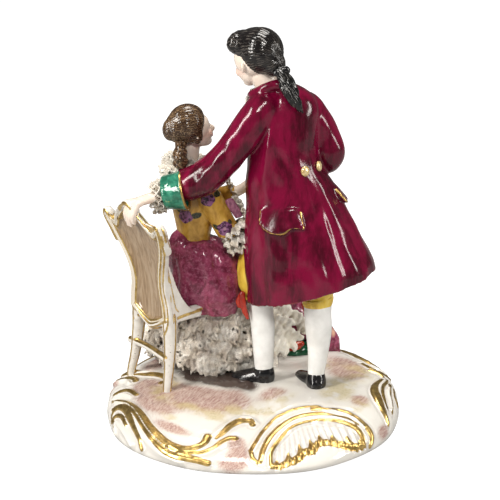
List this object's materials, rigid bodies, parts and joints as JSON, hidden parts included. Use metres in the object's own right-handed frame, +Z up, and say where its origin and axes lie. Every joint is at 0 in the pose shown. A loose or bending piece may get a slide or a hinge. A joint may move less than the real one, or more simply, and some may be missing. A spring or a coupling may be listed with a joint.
{
  "type": "courting couple figurine",
  "caption": "Painted porcelain group of a standing man in a crimson coat leaning over a seated lady, on a round scrolled mound base.",
  "frame": {"origin": "centre of the object's box at the underside of the mound", "axes": "+Z up; +Y away from the pictured side, so a camera looking along +Y sees the man's back; +X to that camera's right"},
  "size_m": [0.1202, 0.1116, 0.1598],
  "materials": {
    "porcelain": "white glazed porcelain, hand painted",
    "coat_enamel": "glossy crimson enamel on porcelain",
    "gown_enamel": "mottled mauve enamel on porcelain",
    "bodice_enamel": "yellow enamel with painted flowers",
    "lace_bisque": "pierced porcelain lace, thin glaze",
    "skin_enamel": "flesh tint under glaze",
    "man_hair_enamel": "black enamel with brush lines",
    "lady_hair_enamel": "brown enamel with brush lines",
    "stocking_glaze": "white glaze",
    "breeches_enamel": "yellow enamel",
    "shoe_enamel": "black enamel",
    "cuff_enamel": "sea-green enamel",
    "footstool_enamel": "dark green enamel",
    "chair_enamel": "tan wash with brush strokes on white glaze",
    "gilding": "burnished gilding"
  },
  "bodies": {
    "root": {"courting_couple_group": "porcelain"}
  },
  "joints": []
}
